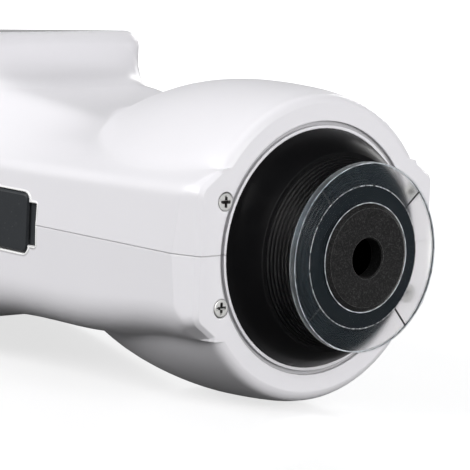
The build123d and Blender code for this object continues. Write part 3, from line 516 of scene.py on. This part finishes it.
def thin_ring(name, radius, width, depth, x, finish):
    """Flat ring with rounded edges round the measuring axis, its middle at x."""
    deselect()
    bpy.ops.mesh.primitive_circle_add(
        vertices=128, radius=radius - width / 2, location=(x, 0.0, axis_z), rotation=(0.0, math.pi / 2, 0.0)
    )
    ring = bpy.context.object
    ring.name = name
    bpy.ops.object.mode_set(mode="EDIT")
    bpy.ops.mesh.select_all(action="SELECT")
    bpy.ops.mesh.extrude_region()
    growth = (radius + width / 2) / (radius - width / 2)
    bpy.ops.transform.resize(value=(1.0, growth, growth), center_override=(x, 0.0, axis_z))
    bpy.ops.mesh.select_all(action="SELECT")
    bpy.ops.mesh.normals_make_consistent(inside=False)
    bpy.ops.object.mode_set(mode="OBJECT")
    apply_modifier(ring, "SOLIDIFY", thickness=depth, offset=0.0)
    apply_modifier(ring, "BEVEL", width=0.3 * min(width, depth), segments=2, limit_method="ANGLE")
    bpy.ops.object.shade_smooth_by_angle(angle=math.radians(50))
    shown(ring, finish)


def pick(piece, test):
    """Selects, in edit mode, the vertices of a piece that pass a test on their place."""
    bpy.ops.object.mode_set(mode="EDIT")
    bpy.ops.mesh.select_mode(type="VERT")
    bpy.ops.mesh.select_all(action="DESELECT")
    bpy.ops.object.mode_set(mode="OBJECT")
    for vertex in piece.data.vertices:
        vertex.select = test(vertex.co)
    bpy.ops.object.mode_set(mode="EDIT")


def group_selected(piece, name):
    """Keeps the selected vertices of a piece as a named group."""
    members = [vertex.index for vertex in piece.data.vertices if vertex.select]
    piece.vertex_groups.new(name=name).add(members, 1.0, "REPLACE")


def housing_cove(clearance, front_spread, side_spread, tail_spread, rise, tail_fall, fullness):
    """Cove between the display housing's wall and the deck, fitted to the deck's surface.

    The outline of the wall's foot and a wider one are dropped on the deck. A copy of the foot goes up the
    wall by the rise, and by tail_fall of it less at the tail. The foot itself then moves up and outwards by
    its fullness, a share of the rise and of the spreads, and subdivision rounds the whole.
    """
    front = face_x - display_housing_setback + clearance
    tail = cad_bounds[0][0] + display_housing_tail_gap - clearance
    width = display_housing_width + 2 * clearance
    corner = display_housing_corner + clearance
    start = axis_z + display_housing_height + 20.0 * MM
    middle_x = (front + tail) / 2
    nearly = 0.01 * MM
    deselect()
    bpy.ops.mesh.primitive_plane_add(size=1.0, location=(middle_x, 0.0, start))
    cove = bpy.context.object
    cove.name = "housing_cove"
    cove.scale = (front - tail, width, 1.0)
    bpy.ops.object.transform_apply(location=True, rotation=True, scale=True)
    bpy.ops.object.mode_set(mode="EDIT")
    bpy.ops.mesh.select_all(action="SELECT")
    bpy.ops.mesh.bevel(offset=corner, segments=8, affect="VERTICES")
    bpy.ops.mesh.select_all(action="SELECT")
    bpy.ops.mesh.delete(type="ONLY_FACE")
    pick(cove, lambda place: abs(abs(place.y) - width / 2) < nearly)
    bpy.ops.mesh.subdivide(number_cuts=18)
    pick(cove, lambda place: abs(abs(place.x - middle_x) - (front - tail) / 2) < nearly)
    bpy.ops.mesh.subdivide(number_cuts=12)
    bpy.ops.mesh.select_all(action="SELECT")
    bpy.ops.mesh.extrude_region()
    growth = Vector(((front_spread + tail_spread) / (front - tail), 2 * side_spread / width, 0.0))
    fixed = (tail + (front - tail) * tail_spread / (front_spread + tail_spread), 0.0, start)
    one = Vector((1.0, 1.0, 1.0))
    bpy.ops.transform.resize(value=one + growth, center_override=fixed)
    bpy.ops.object.mode_set(mode="OBJECT")
    group_selected(cove, "outer")
    apply_modifier(cove, "SHRINKWRAP", target=nodes["top_shell"], wrap_method="PROJECT", use_project_z=True,
                   use_negative_direction=True, use_positive_direction=False)

    # The foot is what the outer outline leaves
    foot_z = max(vertex.co.z for vertex in cove.data.vertices)
    pick(cove, lambda place: False)
    cove.vertex_groups.active_index = 0
    bpy.ops.object.vertex_group_select()
    bpy.ops.mesh.select_all(action="INVERT")
    bpy.ops.mesh.extrude_region()
    bpy.ops.transform.translate(value=(0.0, 0.0, rise))
    slope = math.atan2(tail_fall * rise, front - tail)
    pivot = (front, 0.0, foot_z + rise)
    bpy.ops.transform.rotate(value=slope, orient_axis="Y", center_override=pivot)
    bpy.ops.object.mode_set(mode="OBJECT")
    group_selected(cove, "wall")

    # Without the outer outline and the copy on the wall, the foot alone stays selected
    bpy.ops.object.mode_set(mode="EDIT")
    bpy.ops.mesh.select_all(action="SELECT")
    for index in (0, 1):
        cove.vertex_groups.active_index = index
        bpy.ops.object.vertex_group_deselect()
    bpy.ops.transform.translate(value=(0.0, 0.0, fullness * rise))
    bpy.ops.transform.resize(value=one + fullness * growth, center_override=fixed)
    bpy.ops.mesh.select_all(action="SELECT")
    bpy.ops.mesh.normals_make_consistent(inside=False)
    bpy.ops.object.mode_set(mode="OBJECT")
    apply_modifier(cove, "SUBSURF", levels=2)

    # The flattest face lies on the deck and has to look up
    flattest = max(cove.data.polygons, key=lambda face: abs(face.normal.z))
    if flattest.normal.z < 0:
        bpy.ops.object.mode_set(mode="EDIT")
        bpy.ops.mesh.select_all(action="SELECT")
        bpy.ops.mesh.flip_normals()
        bpy.ops.object.mode_set(mode="OBJECT")
    apply_modifier(cove, "SOLIDIFY", thickness=0.3 * MM, offset=-1.0)
    bpy.ops.object.shade_smooth_by_angle(angle=math.radians(50))
    plastic = moulded("white_cove_plastic", SHELL_WHITE, 0.36, edge=0.00002, edge_light=0.0, **SHELL_LOOK)
    shown(cove, plastic)


def broken_glint(name, colour, low, high, scale):
    """Painted glint for a cut edge and for a bond's edge, that shows in some places more than in others."""
    material, tree, shader = new_material(name)
    place = add(tree, "ShaderNodeTexCoord").outputs["Object"]
    noise = add(tree, "ShaderNodeTexNoise", {"Vector": place, "Scale": scale, "Detail": 3.0}).outputs["Fac"]
    tree.links.new(span(tree, noise, 0.38, 0.62, low, high), shader.inputs["Alpha"])
    tree.links.new(mix_colour(tree, noise, shaded(colour, 0.8), colour), shader.inputs["Base Color"])
    shader.inputs["Roughness"].default_value = 0.35
    return material


def disc_edges():
    """Painted glints on the cut edges of the clear disc and along the edge of its bond."""
    # Thin rings with painted glints on the disc's cut edges
    cut_edge_glint = broken_glint("acrylic_cut_edge", (0.85, 0.9, 0.96), 0.3, 1.0, 500.0)
    neck_tip_glint = broken_glint("neck_tip_glint", (0.8, 0.82, 0.85), 0.05, 0.9, 1500.0)
    width = 0.16 * MM
    depth = 0.06 * MM
    edges = {
        "disc_front_edge": (disc_radius - width, disc_high.x),
        "disc_back_edge": (disc_radius - width, disc_low.x),
        "disc_bore_edge": (plate_radius + width, disc_high.x),
    }
    for name, (radius, x) in edges.items():
        thin_ring(name, radius, width, depth, x, cut_edge_glint)
    # Painted glint of the neck tip's edge, seen through the disc along its bond
    glint_width = 0.2 * MM
    glint_depth = 0.05 * MM
    glint_x = disc_low.x + glint_depth
    thin_ring("bond_glint_ring", bond_radius, glint_width, glint_depth, glint_x, neck_tip_glint)


def alignment_marks():
    """The disc's four marks, which lie in its back face, turned a little from the diagonals."""
    ink = moulded("black_mark_ink", (0.008, 0.008, 0.009), 0.5, grain=3000.0, depth=0.01)
    gap = 0.05 * MM
    depth = 0.04 * MM
    width = 0.42 * MM
    length = disc_radius - bond_radius - 2 * gap
    x = disc_low.x + 0.1 * MM
    mark_turn = -4.3
    deselect()
    bpy.ops.mesh.primitive_cube_add(size=1.0, scale=(depth, length, width))
    mark = bpy.context.object
    mark.name = "alignment_mark_1"
    apply_modifier(mark, "BEVEL", width=0.012 * MM, segments=2)
    bpy.ops.object.transform_apply(location=True, rotation=True, scale=True)
    mark.data.transform(Matrix.Translation((x, bond_radius + length / 2 + gap, 0.0)))
    marks = [mark]
    for count in range(2, 5):
        copy = bpy.data.objects.new(f"alignment_mark_{count}", mark.data.copy())
        bpy.context.scene.collection.objects.link(copy)
        marks.append(copy)
    for count, piece in enumerate(marks):
        turn = Matrix.Rotation(math.radians(45 + 90 * count + mark_turn), 4, "X")
        piece.data.transform(Matrix.Translation((0.0, 0.0, axis_z)) @ turn)
        shown(piece, ink)


housing_cove(
    clearance=0.02 * MM,
    front_spread=10.0 * MM,
    side_spread=4.0 * MM,
    tail_spread=0.8 * MM,
    rise=8.2 * MM,
    tail_fall=0.6,
    fullness=0.19,
)
disc_edges()
alignment_marks()

# Stage


def seen_directly(tree):
    """Value that is 1 for what the camera sees, also straight through the clear disc."""
    path = add(tree, "ShaderNodeLightPath")
    unreflected = math_node(tree, "LESS_THAN", path.outputs["Glossy Depth"], 0.5)
    through = math_node(tree, "MULTIPLY", path.outputs["Is Transmission Ray"], unreflected)
    return math_node(tree, "MAXIMUM", path.outputs["Is Camera Ray"], through)


def studio_floor():
    """Floor that is white to the camera and dark for the light that it sends back; it keeps the shadow."""
    deselect()
    bpy.ops.mesh.primitive_plane_add(size=8.0, location=(0.0, 0.0, 0.0))
    floor = bpy.context.object
    floor.name = "studio_floor"
    material, tree, shader = new_material("studio_floor_paint")
    shader.inputs["Roughness"].default_value = 0.12
    shader.inputs["Specular IOR Level"].default_value = 0.35
    reflected = math_node(tree, "MULTIPLY", add(tree, "ShaderNodeLightPath").outputs["Is Glossy Ray"], 0.12)
    seen = math_node(tree, "MAXIMUM", seen_directly(tree), reflected)
    paint = mix_colour(tree, seen, (0.035, 0.035, 0.035), (0.42, 0.42, 0.43))
    tree.links.new(paint, shader.inputs["Base Color"])
    place = add(tree, "ShaderNodeTexCoord").outputs["Object"]
    away = add(tree, "ShaderNodeVectorMath", {0: place}, operation="LENGTH").outputs["Value"]
    level = math_node(tree, "MULTIPLY", seen, span(tree, away, 0.15, 0.6, 0.72, 1.0))
    glow = add(tree, "ShaderNodeEmission", {"Color": (1, 1, 1, 1), "Strength": level})
    total = add(tree, "ShaderNodeAddShader", {0: shader.outputs[0], 1: glow.outputs[0]})
    tree.links.new(total.outputs[0], tree.nodes["Material Output"].inputs["Surface"])
    floor.data.materials.append(material)


def studio_world():
    """Backdrop, white to the camera and dim for light, that is brighter behind the part in reflections."""
    world = bpy.data.worlds.new("studio")
    bpy.context.scene.world = world
    world.use_nodes = True
    tree = world.node_tree
    background = tree.nodes["Background"]
    background.inputs["Color"].default_value = (0.98, 0.99, 1.0, 1.0)
    strength = span(tree, seen_directly(tree), 0.0, 1.0, 0.15, 1.0)
    direction = add(tree, "ShaderNodeTexCoord").outputs["Generated"]
    forward = add(tree, "ShaderNodeSeparateXYZ", {0: direction}).outputs["X"]
    backdrop = span(tree, forward, -0.45, -0.1, 0.4, 0.1)
    glossy = add(tree, "ShaderNodeLightPath").outputs["Is Glossy Ray"]
    reflected = math_node(tree, "MULTIPLY", glossy, backdrop)
    direct = math_node(tree, "MULTIPLY", strength, math_node(tree, "SUBTRACT", 1.0, glossy))
    tree.links.new(math_node(tree, "ADD", direct, reflected), background.inputs["Strength"])


def softbox(name, place, target, size, power):
    """Square area lamp that faces a target."""
    lamp = bpy.data.lights.new(name, "AREA")
    lamp.shape = "SQUARE"
    lamp.size = size
    lamp.energy = power
    lamp.color = (1.0, 0.995, 0.985)
    lamp_object = bpy.data.objects.new(name, lamp)
    bpy.context.scene.collection.objects.link(lamp_object)
    lamp_object.location = place
    direction = Vector(target) - Vector(place)
    lamp_object.rotation_euler = direction.to_track_quat("-Z", "Y").to_euler()


studio_floor()
studio_world()
middle = Vector((face_x - 0.05, 0.0, axis_z))
softbox("side_softbox", middle + Vector((-0.5, -1.15, 0.8)), middle, 0.8, 22.0)
softbox("front_softbox", middle + Vector((1.25, 0.0, 0.22)), middle, 0.9, 17.5)
softbox("rim_softbox", middle + Vector((-0.45, 0.95, 0.35)), middle, 0.4, 3.0)

# Camera

image_side = 470
focal_length = 3234.0
sensor_width = 36.0
distance = 0.653
aim_right = -0.0167
aim_up = 0.0027
back = Vector((0.746, -0.653, 0.132)).normalized()
up = Vector((-0.129, 0.053, 0.990))
up = (up - back * up.dot(back)).normalized()
right = up.cross(back)
camera = bpy.data.cameras.new("camera")
camera.sensor_width = sensor_width
camera.lens = sensor_width * focal_length / image_side
camera_object = bpy.data.objects.new("camera", camera)
bpy.context.scene.collection.objects.link(camera_object)
face_centre = Vector((face_x, 0.0, axis_z))
stand = face_centre + right * aim_right + up * aim_up + back * distance
turn = Matrix((right, up, back)).transposed().to_4x4()
camera_object.matrix_world = Matrix.Translation(stand) @ turn
bpy.context.scene.camera = camera_object
bpy.context.scene.view_settings.view_transform = "Standard"
